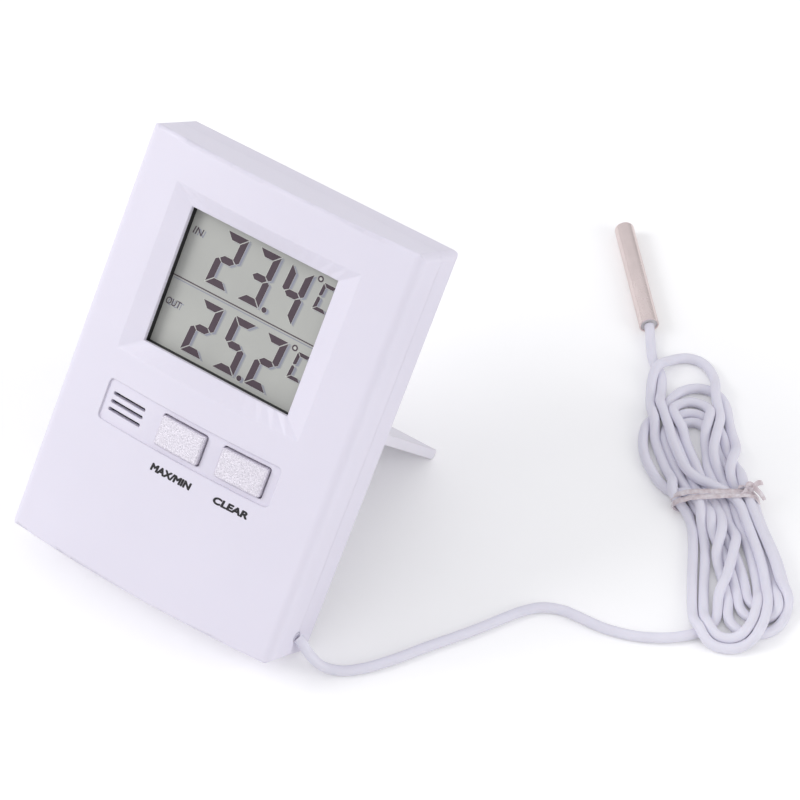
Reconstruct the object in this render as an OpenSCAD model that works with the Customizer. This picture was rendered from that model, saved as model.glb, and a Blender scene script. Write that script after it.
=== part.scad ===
// Digital maximum minimum thermometer: a crowned two-shell case that leans back on a fold-out
// stand, with a display, two push buttons, a cell under the stand and a probe on a thin lead.
//
// The case is drawn upright in its own frame (X to the right, Y from the front to the back, Z up,
// zero at the bottom of the front edge) and place() then leans it back until its rear bottom edge
// and the tip of the open stand share the ground, z = 0.

/* [Case] */
// Width of the case at its front edges
case_w = 62.6; // [61.5:0.1:70]
// Height of the case
case_h = 86; // [85:0.5:96]
// Depth of the side walls, from the front edge to the back
case_d = 15.4; // [15:0.1:18]
// How far the middle of the front stands proud of its edges
crown = 3; // [2.6:0.1:3.4]
// How far each wall leans out from the front edges to the parting line, and in again behind it
draft = 0.15; // [0:0.05:0.3]
// Wall thickness of both shells
wall = 1.8; // [1.5:0.1:2]
// Corner radius of the case seen from the front
corner_r = 2.2; // [1.9:0.1:3.5]
// Radius of the long edges at the left and right of the front
side_edge_r = 2.2; // [1.9:0.1:2.8]
// Radius of the edges at the top and bottom of the front
end_edge_r = 0.8; // [0.5:0.1:1.2]
// Radius of the edges round the back
back_edge_r = 1; // [0.8:0.1:1.6]
// Depth of the parting line between front shell and rear cover
split_y = 8; // [7.6:0.1:8.4]
// Thickness of the locating lip on the rear cover
lip_t = 0.9; // [0.7:0.1:1.1]
// How far the lip reaches into the front shell
lip_h = 1.5; // [1:0.1:2]
// Gap between parts that are dropped into each other
fit = 0.15; // [0.1:0.01:0.2]

/* [Window and display] */
// Width of the window opening
window_w = 33.9; // [32:0.1:34.6]
// Height of the window opening
window_h = 28.2; // [26:0.1:29]
// Distance from the top of the case to the middle of the window
window_drop = 25.5; // [25.2:0.1:27]
// Depth of the window's rim behind the front edges of the case
rim_y = -0.7; // [-0.8:0.05:-0.6]
// Width of the sloping bezel at the sides of the window
bezel_side = 4.4; // [3.6:0.1:4.8]
// Height of the sloping bezel above and below the window
bezel_end = 3.3; // [2.8:0.1:3.8]
// Thickness of the shell at the window's rim
rim_t = 0.9; // [0.85:0.05:1.2]
// Depth of the black step between the rim and the glass
holder_step = 1.5; // [1.2:0.1:1.7]
// Thickness of each display glass
glass_t = 1.1; // [0.9:0.05:1.2]
// How far the front glass reaches past the window at the sides and top
glass_lap = 1.8; // [1.5:0.1:2]
// Height of the contact ledge below the window
ledge_h = 3.2; // [2.8:0.1:3.6]
// Thickness of the reflector behind the display
reflector_t = 0.2; // [0.1:0.05:0.3]
// Thickness of the display holder round the glass
holder_t = 1.8; // [1.4:0.1:2]

/* [Buttons and vents] */
// Width of each button cap
cap_w = 10.1; // [9:0.1:10.4]
// Height of each button cap
cap_h = 6; // [5:0.1:6.4]
// How far the caps stand proud of the crowned front
cap_rise = 0.7; // [0.5:0.05:1.2]
// Place of the first button, across the case
button_a_x = -1.2; // [-1.6:0.1:-0.8]
// Distance between the two buttons
button_pitch = 14.2; // [13.8:0.1:14.5]
// Running gap round each cap
cap_gap = 0.3; // [0.2:0.05:0.4]
// Bevel round each cap's outer face
cap_bevel = 0.3; // [0.2:0.05:0.5]
// Travel of the buttons
button_travel = 0.3; // [0.2:0.05:0.4]
// Distance from the middle of the window down to the row of buttons
row_drop = 27.7; // [27.4:0.1:28.4]
// Width of the sunk panel that holds vents and buttons
panel_w = 40.6; // [40:0.1:42]
// Height of the sunk panel
panel_h = 8.5; // [8:0.1:9.2]
// Depth of the sunk panel
panel_sink = 0.4; // [0.3:0.05:0.5]
// Corner radius of the sunk panel
panel_r = 1; // [0.6:0.1:1.6]
// Length of a vent slot
vent_l = 8; // [6:0.1:8.2]
// Width of a vent slot
vent_w = 0.7; // [0.6:0.05:0.8]
// Distance from one vent slot to the next
vent_pitch = 1.64; // [1.5:0.02:1.8]
// Number of vent slots
vent_n = 3; // [2:1:4]
// Distance from the middle of the case to the middle of the vents
vent_x = 14.7; // [14.4:0.1:15]

/* [Circuit board] */
// Thickness of the circuit board
board_t = 1.2; // [1:0.1:1.6]
// Width of the circuit board
board_w = 52.4; // [52:0.1:53]
// Gap between the display's back and the board, filled by the zebra strip
zebra_gap = 1.45; // [1.3:0.05:1.6]
// Height of the zebra strip
zebra_h = 2; // [1.6:0.1:2.2]
// Width of a tactile switch
switch_w = 6; // [5.6:0.1:6.4]
// Radius of a switch plunger
plunger_r = 1.7; // [1.4:0.1:2]
// Height of a switch plunger above its body
plunger_h = 0.7; // [0.6:0.05:0.9]

/* [Screws] */
// Radius of the screw shanks
screw_r = 1.1; // [1:0.05:1.2]
// Radius of the screw heads
head_r = 2; // [1.8:0.05:2.1]
// Height of the screw heads
head_h = 1.4; // [1.2:0.1:1.5]
// Length of the case screws under the head
case_screw_l = 8; // [7:0.5:8.5]
// Radius of the screw bosses
boss_r = 2.9; // [2.7:0.1:3]

/* [Stand] */
// Width of the stand
stand_w = 50; // [50:0.1:52]
// Length of the stand from its hinge axis to its tip
stand_l = 44.2; // [40:0.2:44.6]
// Thickness of the stand
stand_t = 2.2; // [2:0.1:2.4]
// Height of the hinge axis
hinge_z = 45.5; // [45.3:0.1:46.5]
// Angle of the open stand below the square to the back
stand_dip = 13.9; // [8:0.1:18]
// Gap between the stand and its recess
stand_gap = 0.3; // [0.25:0.01:0.4]
// Radius of the stand's hinge pins
pin_r = 0.7; // [0.6:0.05:0.75]
// Length of the stand's hinge pins
pin_l = 2; // [1.6:0.1:2.2]
// Running clearance of a hinge pin in its socket, on the radius
pin_gap = 0.05; // [0.03:0.01:0.08]

/* [Cell and door] */
// Diameter of the AAA cell
cell_d = 10.3; // [9.8:0.1:10.5]
// Length of the AAA cell over its nub
cell_l = 44.5; // [43.5:0.1:44.7]
// Room for the spring behind the cell
spring_l = 3.4; // [3:0.1:4]
// Turns of the contact spring
spring_turns = 3; // [2:1:4]
// Thickness of the contact plates
plate_t = 0.4; // [0.3:0.05:0.5]
// Thickness of the walls round the cell
tray_t = 1.2; // [1:0.1:1.4]
// Thickness of the battery door and of the floor it sits in
door_t = 1.6; // [1.5:0.05:1.8]
// Thickness of the tongues that hold the door in its channel
tongue_t = 0.8; // [0.7:0.05:0.9]
// How far the tongues reach into the channel's sides
tongue_w = 1.1; // [0.9:0.1:1.2]
// Gap round the battery door
door_gap = 0.2; // [0.15:0.01:0.3]

/* [Lead and probe] */
// Diameter of the lead
lead_d = 2.1; // [1.8:0.05:2.2]
// Height of the lead's exit above the bottom of the case
exit_z = 4.9; // [4.8:0.1:5.1]
// Diameter of the probe
probe_d = 4.2; // [4:0.1:5]
// Length of the probe
probe_l = 28; // [24:0.5:32]
// Wall of the probe tube
probe_wall = 0.3; // [0.2:0.05:0.4]
// Depth of the resin plug in the probe's open end
resin_l = 6; // [4:0.5:8]
// Height of the hank of lead
hank_h = 6.3; // [5:0.1:8]
// Thickness of the tie round the hank
tie_t = 0.8; // [0.6:0.1:1]
// Width of the tie round the hank
tie_w = 3.6; // [3:0.1:4]

/* [Keyhole] */
// Radius of the keyhole's large hole
keyhole_r = 3.4; // [3:0.1:3.6]
// Radius of the keyhole's slot
keyslot_r = 1.7; // [1.5:0.1:1.9]
// Distance from the top of the case to the middle of the large hole
keyhole_drop = 9.6; // [9.4:0.1:11]
// How far the slot rises above the large hole
keyslot_l = 4.6; // [4:0.1:4.8]

/* [Hidden] */
$fn = 48;
far = 200; // longer than anything that it cuts
arc_fn = 180; // facets of the big crown arc in the preview

// Crown of the front: a cylinder about an upright axis far behind the case
crown_r = (case_w * case_w / 4 + crown * crown) / (2 * crown);
crown_axis_y = crown_r - crown;
function crown_y(x, inset = 0) = crown_axis_y - sqrt(pow(crown_r - inset, 2) - x * x);

// Heights on the front
window_z = case_h - window_drop;
row_z = window_z - row_drop;
holder_y = rim_y + rim_t;
lens_y = holder_y + holder_step;
glass_w = window_w + 2 * glass_lap;
glass_low = window_z - window_h / 2 - ledge_h;
glass_high = window_z + window_h / 2 + glass_lap;
rear_glass_low = window_z - window_h / 2 - ledge_h + zebra_h + 0.5;

// Board, switches and buttons
board_y = lens_y + 2 * glass_t + reflector_t + zebra_gap;
board_back = board_y + board_t;
board_low = row_z - 5.4;
board_high = glass_high + 1.4;
post_x = board_w / 2 - 2.2;
post_r = 2;
post_low_z = glass_low - holder_t - 2.3;
post_high_z = glass_high - 2.4;
board_screw_l = 4.2;
collar_t = 1.3;
collar_y = 0.1;
stem_y = 1.5;
flange_t = 0.8;
flange_lap = 0.9;
switch_y = stem_y + plunger_h;
button_b_x = button_a_x + button_pitch;

// Screw bosses
boss_top_x = case_w / 2 - 5.75;
boss_top_z = case_h - 5;
boss_low_x = 20;
boss_low_z = board_low - 4;
head_well_r = head_r + 0.25;

// Stand, its recess and the open pose
stand_r = stand_t / 2;
hinge_y = case_d - stand_r;
recess_w = stand_w + 2 * stand_gap;
recess_y = case_d - stand_t - 0.2;
floor_t = door_t + 0.2;
floor_y = recess_y - floor_t;
barrel_gap = 0.15;
stop_gap = 0.05;
recess_top = hinge_z + stand_r + barrel_gap;
// Top of the recess: a face that the open stand comes to rest against
function stop_z(y) = hinge_z + (stand_r + stop_gap) / cos(stand_dip) - (y - hinge_y) * tan(stand_dip);
boss_back_y = floor_y + 0.4;

// Cell, its tray and its door
cell_r = cell_d / 2;
cell_y = floor_y - 0.15 - cell_r;
tray_x = (cell_l + spring_l + 3 * plate_t) / 2;
tray_half = cell_r + 0.45;
cell_z = boss_low_z - boss_r - tray_t - tray_half - 0.4;
cell_x0 = -tray_x + plate_t + spring_l;
plate_h = 2 * tray_half - 1.4;
plate_top = cell_z + tray_half + tray_t + 1.8;
opening_w = 2 * tray_x - 1.2;
door_w = opening_w - 2 * door_gap;
door_low = 0.4;
door_high = cell_z + tray_half + 0.6;
door_y = recess_y - door_t;

// Lean of the case on its open stand
tip_y = hinge_y + (stand_l - stand_r) * cos(stand_dip);
tip_z = hinge_z - (stand_l - stand_r) * sin(stand_dip);
heel_y = case_d - back_edge_r;
heel_z = back_edge_r;
foot_span = norm([tip_y - heel_y, tip_z - heel_z]);
lean = atan2(tip_z - heel_z, tip_y - heel_y) + asin((back_edge_r - stand_r) / foot_span);
lift = heel_y * sin(lean) - heel_z * cos(lean) + back_edge_r;
reach_front = (end_edge_r - crown) * cos(lean) + end_edge_r * sin(lean) - end_edge_r;
reach_tip = tip_y * cos(lean) + tip_z * sin(lean) + stand_r;
reach_top = heel_y * cos(lean) + (case_h - back_edge_r) * sin(lean) + back_edge_r;
middle_y = (reach_front + max(reach_tip, reach_top)) / 2;

// Collar on the lead behind the wall
collar_l = 1.2;
collar_x = case_w / 2 - wall - fit - lip_t - 0.3;

// Lead: the loose stretch from the exit to the hank, then the short stretch to the probe
tail_points = [
    [31.7, -23.1, 8], [32.3, -23.1, 7.9], [33.1, -23.3, 7], [34.2, -23.4, 5.4],
    [35.3, -23.2, 3.9], [36.6, -22.9, 2.6],
    [38.4, -21.9, 1.5], [40.6, -20.6, 1.1], [42.6, -18.8, 1.1], [44.4, -16.8, 1.1],
    [47.6, -12.2, 1.1], [50.6, -7.2, 1.1], [53.6, -2.6, 1.1], [56.6, 2.2, 1.1], [59.2, 6.8, 1.1],
    [61.6, 10.7, 1.1], [64.4, 13.6, 1.1], [68.2, 15.2, 1.1], [72.4, 15.6, 1.1], [76.8, 16, 1.1],
    [81, 17.1, 1.1], [84.4, 18.5, 1.1], [87.6, 20.4, 1.1], [90, 22.3, 1.1], [91.7, 24.1, 1.1]
];
probe_points = [
    [48.6, 79.7, 1.1], [47.3, 81.4, 1.2], [46.2, 82.9, 1.4], [45.2, 84.3, 1.7], [44.4, 85.4, 2],
    [43.7, 86.3, 2.1]
];
// Middle line of the hank from its probe end to its other loop, with its half width: [x, y, w]
hank_path = [
    [57.9, 77.4, 8.6], [61.4, 72.4, 8.8], [65, 66.6, 9.5], [69.6, 60.6, 9.3], [76.9, 55.6, 6.8],
    [79.9, 52.2, 6.8], [86, 46.4, 8.6], [92, 39.6, 9.2], [96.2, 32.8, 9.2]
];
waist_from = hank_path[4];
waist_to = hank_path[5];
waist_mid = (waist_from + waist_to) / 2;
waist_turn = atan2(waist_to[1] - waist_from[1], waist_to[0] - waist_from[0]);
probe_turn = 133;

// ---------------------------------------------------------------- placing and drawing aids

// Leans the upright case back onto its stand, centred front to back
module place() {
    translate([0, -middle_y, lift]) rotate([-lean, 0, 0]) children();
}

// A profile in X and Z, swept from y0 to y1
module sweep_y(y0, y1) {
    translate([0, y1, 0]) rotate([90, 0, 0]) linear_extrude(y1 - y0) children();
}

// A profile in Y and Z, swept from x0 to x1
module sweep_x(x0, x1) {
    translate([x0, 0, 0]) rotate([90, 0, 90]) linear_extrude(x1 - x0) children();
}

// A round bar along Y
module bar_y(x, z, y0, y1, r) {
    translate([x, y0, z]) rotate([-90, 0, 0]) cylinder(h = y1 - y0, r = r);
}

// A round bar along X
module bar_x(y, z, x0, x1, r) {
    translate([x0, y, z]) rotate([0, 90, 0]) cylinder(h = x1 - x0, r = r);
}

// A box from its lowest to its highest corner
module block(low, high) {
    translate(low) cube(high - low);
}

// The same children at +x and -x
module both_sides() {
    children();
    mirror([1, 0, 0]) children();
}

module rounded_rect(w, h, r) {
    square([w - 2 * r, h], center = true);
    square([w, h - 2 * r], center = true);
    for (x = [-1, 1], y = [-1, 1])
        translate([x * (w / 2 - r), y * (h / 2 - r)]) circle(r);
}

module slot_2d(l, w) {
    square([l - w, w], center = true);
    for (x = [-1, 1])
        translate([x * (l - w) / 2, 0]) circle(w / 2);
}

// A band along a path of [x, y, half width], with a round end at each end
module band_2d(path, steps = 8) {
    last = len(path) - 1;
    function heading(i) =
        let (d = path[min(i + 1, last)] - path[max(i - 1, 0)]) atan2(d[1], d[0]);
    function side(i, turn) =
        [path[i][0], path[i][1]] + path[i][2] * [cos(heading(i) + turn), sin(heading(i) + turn)];
    polygon([
        for (i = [0:last]) side(i, 90),
        for (k = [1:steps - 1]) side(last, 90 - 180 * k / steps),
        for (i = [last:-1:0]) side(i, -90),
        for (k = [1:steps - 1]) side(0, -90 - 180 * k / steps)
    ]);
}

function cross3(a, b) = cross(a, b) / norm(cross(a, b));

// What is left of v when its share along d is taken out, at length 1
function square_to(v, d) = let (u = v - (v * d) / (d * d) * d) u / norm(u);

// A tube swept along points, with a ring square to the path at each of them, and no twist
module swept_tube(points, r, sides = 8) {
    last = len(points) - 1;
    function heading(i) = points[min(i + 1, last)] - points[max(i - 1, 0)];
    first = heading(0);
    across = [
        for (
            i = 0, a = cross3(first, abs(first[2]) > 0.8 * norm(first) ? [0, 1, 0] : [0, 0, 1]);
            i <= last;
            i = i + 1, a = i <= last ? square_to(a, heading(i)) : a
        ) a
    ];
    function upward(i) = cross3(across[i], heading(i));
    rings = [
        for (i = [0:last], k = [0:sides - 1])
            points[i] + r * cos(k * 360 / sides) * across[i] + r * sin(k * 360 / sides) * upward(i)
    ];
    skin = [
        for (i = [0:last - 1], k = [0:sides - 1])
            let (n = (k + 1) % sides)
                [i * sides + k, (i + 1) * sides + k, (i + 1) * sides + n, i * sides + n]
    ];
    ends = [[for (k = [0:sides - 1]) k], [for (k = [sides - 1:-1:0]) last * sides + k]];
    polyhedron(rings, concat(skin, ends), convexity = 8);
}

// ---------------------------------------------------------------- the case form

// Half of the drum that gives the crown, with its rims softened top and bottom
module drum_profile(inset) {
    r = crown_r - inset;
    soft = max(end_edge_r - inset, 0.3);
    low = inset - draft / 2;
    high = case_h - inset + draft / 2;
    translate([0, low]) square([r - soft, high - low]);
    translate([0, low + soft]) square([r, high - low - 2 * soft]);
    for (z = [low + soft, high - soft])
        translate([r - soft, z]) circle(soft);
}

// Plan of the case: walls widest at the parting line, soft front edges, softer back edges
module plan_profile(inset) {
    w0 = case_w / 2 - inset;
    back = case_d - inset;
    soft = max(side_edge_r - inset, 0.5);
    cx = w0 - soft;
    cy = crown_axis_y - sqrt(pow(crown_r - inset - soft, 2) - cx * cx);
    out = [cx, cy - crown_axis_y] / norm([cx, cy - crown_axis_y]);
    back_soft = max(back_edge_r - inset, 0.3);
    back_x = w0 + draft * back_soft / (back - split_y) - back_soft;
    difference() {
        polygon([
            [-w0, -crown - 1], [w0, -crown - 1], [w0, cy], [w0 + draft, split_y], [w0, back],
            [-w0, back], [-w0 - draft, split_y], [-w0, cy]
        ]);
        for (s = [-1, 1])
            scale([s, 1]) difference() {
                polygon([
                    [cx, cy], [cx, cy] + 2 * soft * out, [w0 + 1, -crown - 2], [w0 + 1, cy]
                ]);
                translate([cx, cy]) circle(soft);
            }
        for (s = [-1, 1])
            scale([s, 1]) difference() {
                translate([back_x, back - back_soft]) square(back_soft + 1);
                translate([back_x, back - back_soft]) circle(back_soft);
            }
    }
}

// Side view of the case: ends lean in behind the parting line, back edges rounded
module side_profile(inset) {
    soft = max(back_edge_r - inset, 0.3);
    front = -crown - 2;
    back = case_d - inset;
    slope = draft / 2 / (back - split_y);
    low = inset - slope * soft;
    high = case_h - inset + slope * soft;
    polygon([
        [front, inset - draft / 2], [split_y, inset - draft / 2], [back - soft, low],
        [back, low + soft], [back, high - soft], [back - soft, high],
        [split_y, case_h - inset + draft / 2], [front, case_h - inset + draft / 2]
    ]);
    for (z = [low + soft, high - soft])
        translate([back - soft, z]) circle(soft);
}

// The case as one solid, every wall moved in by inset
module case_form(inset = 0) {
    slack = 0.03;
    over = 2 * (draft + slack - inset);
    intersection() {
        translate([0, crown_axis_y, 0]) rotate_extrude($fn = arc_fn) drum_profile(inset);
        sweep_y(-crown - 1, case_d + 1)
            translate([0, case_h / 2])
                rounded_rect(case_w + over, case_h + over, corner_r - 0.7 * inset);
        translate([0, 0, -1]) linear_extrude(case_h + 2) plan_profile(inset);
        sweep_x(-far / 2, far / 2) side_profile(inset);
    }
}

// Everything between two depths
module depth_band(y0, y1) {
    block([-far / 2, y0, -far / 2], [far / 2, y1, far]);
}

// ---------------------------------------------------------------- front shell

// Sunk field round the window: slopes that run straight from an edge on the crowned front to the
// flat rim of the opening, and on a little at both ends
module window_cut() {
    w = window_w / 2 + bezel_side;
    h = window_h / 2 + bezel_end;
    strips = 14;
    past = 0.3;
    // A low and a high row of points, a share of the slope's width out from the rim
    function row(share) = [
        for (s = [-1, 1], i = [0:strips])
            let (t = 2 * i / strips - 1)
                [
                    t * (window_w / 2 + share * bezel_side), rim_y + share * (crown_y(t * w) - rim_y),
                    s * (window_h / 2 + share * bezel_end)
                ]
    ];
    function p(inner, high, i) = (2 * inner + high) * (strips + 1) + i;
    faces = [
        for (i = [0:strips - 1]) each [
            [p(0, 0, i + 1), p(0, 0, i), p(0, 1, i), p(0, 1, i + 1)],
            [p(1, 0, i), p(1, 0, i + 1), p(1, 1, i + 1), p(1, 1, i)],
            [p(0, 0, i), p(0, 0, i + 1), p(1, 0, i + 1)],
            [p(0, 0, i), p(1, 0, i + 1), p(1, 0, i)],
            [p(0, 1, i + 1), p(0, 1, i), p(1, 1, i + 1)],
            [p(0, 1, i), p(1, 1, i), p(1, 1, i + 1)]
        ],
        [p(0, 0, strips), p(0, 1, strips), p(1, 1, strips), p(1, 0, strips)],
        [p(0, 1, 0), p(0, 0, 0), p(1, 0, 0), p(1, 1, 0)]
    ];
    translate([0, 0, window_z]) {
        polyhedron(concat(row(1 + past), row(-past)), faces, convexity = 6);
        sweep_y(rim_y - 1, holder_y + 1) square([window_w, window_h], center = true);
    }
}

// Shallow field that follows the crown
module panel_cut() {
    difference() {
        translate([0, 0, row_z])
            sweep_y(-crown - 1, 0) rounded_rect(panel_w, panel_h, panel_r);
        translate([0, crown_axis_y, -1])
            cylinder(h = case_h + 2, r = crown_r - panel_sink, $fn = arc_fn);
    }
}

module vent_cuts() {
    for (i = [0:vent_n - 1])
        translate([-vent_x, 0, row_z + (i - (vent_n - 1) / 2) * vent_pitch])
            sweep_y(-crown - 1, wall) slot_2d(vent_l, vent_w);
}

module button_openings() {
    for (x = [button_a_x, button_b_x])
        translate([x, 0, row_z])
            sweep_y(-crown - 1, collar_y + 1)
                rounded_rect(cap_w + 2 * cap_gap, cap_h + 2 * cap_gap, 0.6);
}

// Where the shell stiffens behind the window and the buttons, and where screws go in
module front_inside() {
    pad_w = window_w + 2 * bezel_side + 2.6;
    pad_h = window_h + 2 * bezel_end + 2.6;
    translate([0, 0, window_z])
        sweep_y(-crown, holder_y) square([pad_w, pad_h], center = true);
    for (x = [button_a_x, button_b_x])
        translate([x, 0, row_z])
            sweep_y(-crown, collar_y)
                square([cap_w + 2 * collar_t, cap_h + 2 * collar_t], center = true);
    both_sides() {
        for (z = [post_low_z, post_high_z])
            bar_y(post_x, z, -crown, board_y, post_r);
        bar_y(boss_top_x, boss_top_z, -crown, split_y, boss_r);
        bar_y(boss_low_x, boss_low_z, -crown, split_y, boss_r);
    }
}

// Pilot holes for the case and board screws
module pilot_holes() {
    both_sides() {
        for (z = [post_low_z, post_high_z])
            bar_y(post_x, z, board_back - board_screw_l - 0.4, board_y + 1, screw_r - 0.25);
        bar_y(boss_top_x, boss_top_z, split_y - case_screw_l + 2, split_y + 1, screw_r + 0.05);
        bar_y(boss_low_x, boss_low_z, split_y - case_screw_l + 2, split_y + 1, screw_r + 0.05);
    }
}

module lead_hole() {
    bar_x(split_y, exit_z, case_w / 2 - wall - lip_t - 1.4, case_w / 2 + 2, lead_d / 2 + 0.05);
}

module front_shell() {
    color("white") place() difference() {
        union() {
            difference() {
                intersection() {
                    case_form();
                    depth_band(-far, split_y);
                }
                intersection() {
                    case_form(wall);
                    depth_band(-far, split_y + 1);
                }
            }
            intersection() {
                case_form(wall / 2);
                front_inside();
            }
        }
        window_cut();
        panel_cut();
        vent_cuts();
        button_openings();
        pilot_holes();
        lead_hole();
    }
}

// ---------------------------------------------------------------- rear cover

// Lip that stands inside the front shell
module locating_lip() {
    difference() {
        union() {
            intersection() {
                case_form(wall + fit);
                depth_band(split_y - lip_h, split_y + 1.2);
            }
            intersection() {
                case_form(wall - 0.3);
                depth_band(split_y, split_y + 1.2);
            }
        }
        intersection() {
            case_form(wall + fit + lip_t);
            depth_band(split_y - lip_h - 1, split_y + 2);
        }
        // room for the front shell's bosses
        both_sides() {
            bar_y(boss_top_x, boss_top_z, split_y - lip_h - 1, split_y, boss_r + fit);
            bar_y(boss_low_x, boss_low_z, split_y - lip_h - 1, split_y, boss_r + fit);
        }
    }
}

// Box round the cell, open towards the door
module cell_tray() {
    zt = cell_z + tray_half;
    zb = cell_z - tray_half;
    y0 = cell_y - cell_r + 1.2;
    both_sides() {
        block([tray_x, y0, zb - tray_t], [tray_x + tray_t, floor_y + 0.1, zt + tray_t]);
    }
    for (z = [zb - tray_t, zt])
        block([-tray_x + 0.5, y0, z], [tray_x - 0.5, floor_y + 0.1, z + tray_t]);
    block([-15, cell_y - cell_r - 0.85, zb - tray_t], [15, cell_y - cell_r - 0.1, zt + tray_t]);
    for (z = [zb - tray_t, zt])
        block([-15, cell_y - cell_r - 0.85, z], [15, y0 + 1, z + tray_t]);
    // floor between the cell and the bottom of the case, behind which the door slides
    block([-tray_x - tray_t, floor_y - 1, wall / 2], [tray_x + tray_t, floor_y, zb - tray_t / 2]);
    // feet that carry the end walls back to the long walls, outside the contact plates
    both_sides() for (z = [zb - tray_t, zt])
        block([tray_x - 1, y0, z + (z > cell_z ? 0.6 : 0)],
            [tray_x + 0.5, y0 + 0.9, z + tray_t - (z > cell_z ? 0 : 0.6)]);
}

// Stand recess: floor, side walls and top wall, cut to the outside of the case
module stand_recess_body() {
    rim = 2.6;
    block([-recess_w / 2 - rim, floor_y, 0.2], [recess_w / 2 + rim, case_d, recess_top + rim]);
}

module stand_recess_cut() {
    out_y = case_d + 1;
    sweep_x(-recess_w / 2, recess_w / 2)
        polygon([
            [recess_y, -1], [out_y, -1], [out_y, stop_z(out_y)], [hinge_y, stop_z(hinge_y)],
            [recess_y, hinge_z]
        ]);
    bar_x(hinge_y, hinge_z, -recess_w / 2, recess_w / 2, stand_r + barrel_gap);
    both_sides()
        bar_x(hinge_y, hinge_z, recess_w / 2 - 0.2, recess_w / 2 + pin_l, pin_r + pin_gap);
}

// Channel of the battery door in the recess floor, open at the bottom and grooved at the sides
module door_cut() {
    half = opening_w / 2;
    groove = half + tongue_w + door_gap;
    block([-half, floor_y, -1], [half, recess_y + 1, door_high + door_gap]);
    block([-groove, floor_y, -1], [groove, door_y + tongue_t + 0.1, door_high + door_gap]);
    block([-half, floor_y - 1.5, cell_z - tray_half], [half, recess_y, cell_z + tray_half]);
}

module keyhole_cut() {
    z = case_h - keyhole_drop;
    bar_y(0, z, case_d - wall - 1, case_d + 1, keyhole_r);
    bar_y(0, z + keyslot_l, case_d - wall - 1, case_d + 1, keyslot_r);
    block([-keyslot_r, case_d - wall - 1, z], [keyslot_r, case_d + 1, z + keyslot_l]);
}

module rear_bosses() {
    both_sides() {
        bar_y(boss_top_x, boss_top_z, split_y, case_d - wall / 2, boss_r);
        bar_y(boss_low_x, boss_low_z, split_y, floor_y + 0.2, boss_r);
    }
}

module rear_boss_holes() {
    both_sides() {
        for (at = [[boss_top_x, boss_top_z], [boss_low_x, boss_low_z]]) {
            bar_y(at[0], at[1], split_y - 1, case_d, screw_r + 0.15);
            bar_y(at[0], at[1], boss_back_y, case_d + 1, head_well_r);
        }
    }
}

module rear_cover() {
    color("whitesmoke") place() difference() {
        union() {
            difference() {
                intersection() {
                    case_form();
                    depth_band(split_y, far);
                }
                intersection() {
                    case_form(wall);
                    depth_band(split_y - 1, far);
                }
            }
            locating_lip();
            intersection() {
                case_form();
                stand_recess_body();
            }
            cell_tray();
            rear_bosses();
        }
        stand_recess_cut();
        door_cut();
        keyhole_cut();
        rear_boss_holes();
        lead_hole();
    }
}

// ---------------------------------------------------------------- display

// Black frame that shows as a dark step inside the window and holds the glass
module display_holder() {
    low = glass_low - holder_t;
    high = glass_high + holder_t;
    color("black") place() difference() {
        block([-glass_w / 2 - holder_t, holder_y, low], [glass_w / 2 + holder_t, board_y, high]);
        translate([0, 0, window_z])
            sweep_y(holder_y - 1, board_y + 1) square([window_w, window_h], center = true);
        block([-glass_w / 2 - fit, lens_y, glass_low - fit],
            [glass_w / 2 + fit, board_y + 1, glass_high + fit]);
    }
}

module display_front_glass() {
    color("lightgray") place()
        block([-glass_w / 2, lens_y, glass_low], [glass_w / 2, lens_y + glass_t, glass_high]);
}

module display_rear_glass() {
    color("gray") place()
        block([-glass_w / 2, lens_y + glass_t, rear_glass_low],
            [glass_w / 2, lens_y + 2 * glass_t, glass_high]);
}

module display_reflector() {
    y0 = lens_y + 2 * glass_t;
    color("silver") place()
        block([-glass_w / 2, y0, rear_glass_low], [glass_w / 2, y0 + reflector_t, glass_high]);
}

module zebra_strip() {
    color("lightpink") place()
        block([-glass_w / 2 + 0.6, lens_y + glass_t, glass_low + 0.1],
            [glass_w / 2 - 0.6, board_y, glass_low + 0.1 + zebra_h]);
}

// ---------------------------------------------------------------- circuit board and switches

module circuit_board() {
    color("seagreen") place() difference() {
        block([-board_w / 2, board_y, board_low], [board_w / 2, board_back, board_high]);
        both_sides() for (z = [post_low_z, post_high_z])
            bar_y(post_x, z, board_y - 1, board_back + 1, screw_r + 0.1);
    }
}

module chip_resin() {
    dome_r = 13;
    color("black") place() translate([0, board_back, window_z]) rotate([-90, 0, 0])
        intersection() {
            translate([0, 0, 1.6 - dome_r]) sphere(dome_r, $fn = 96);
            cylinder(h = 3, r = 6);
        }
}

module crystal() {
    color("silver") place() bar_x(board_back + 1, window_z - 13, 8, 14, 1);
}

module small_parts() {
    color("tan") place() {
        for (x = [-16, -13, -10])
            block([x - 0.8, board_back, window_z - 14], [x + 0.8, board_back + 0.8, window_z - 11]);
        for (x = [-14, 16])
            block([x - 1, board_back, window_z + 8], [x + 1, board_back + 0.9, window_z + 11.2]);
    }
}

module tact_switches() {
    color("dimgray") place() for (x = [button_a_x, button_b_x])
        block([x - switch_w / 2, switch_y + button_travel + 0.05, row_z - switch_w / 2],
            [x + switch_w / 2, board_y, row_z + switch_w / 2]);
}

module plunger(x) {
    color("dimgray") place() bar_y(x, row_z, stem_y, switch_y, plunger_r);
}

module plunger_max_min() {
    plunger(button_a_x);
}

module plunger_clear() {
    plunger(button_b_x);
}

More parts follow.
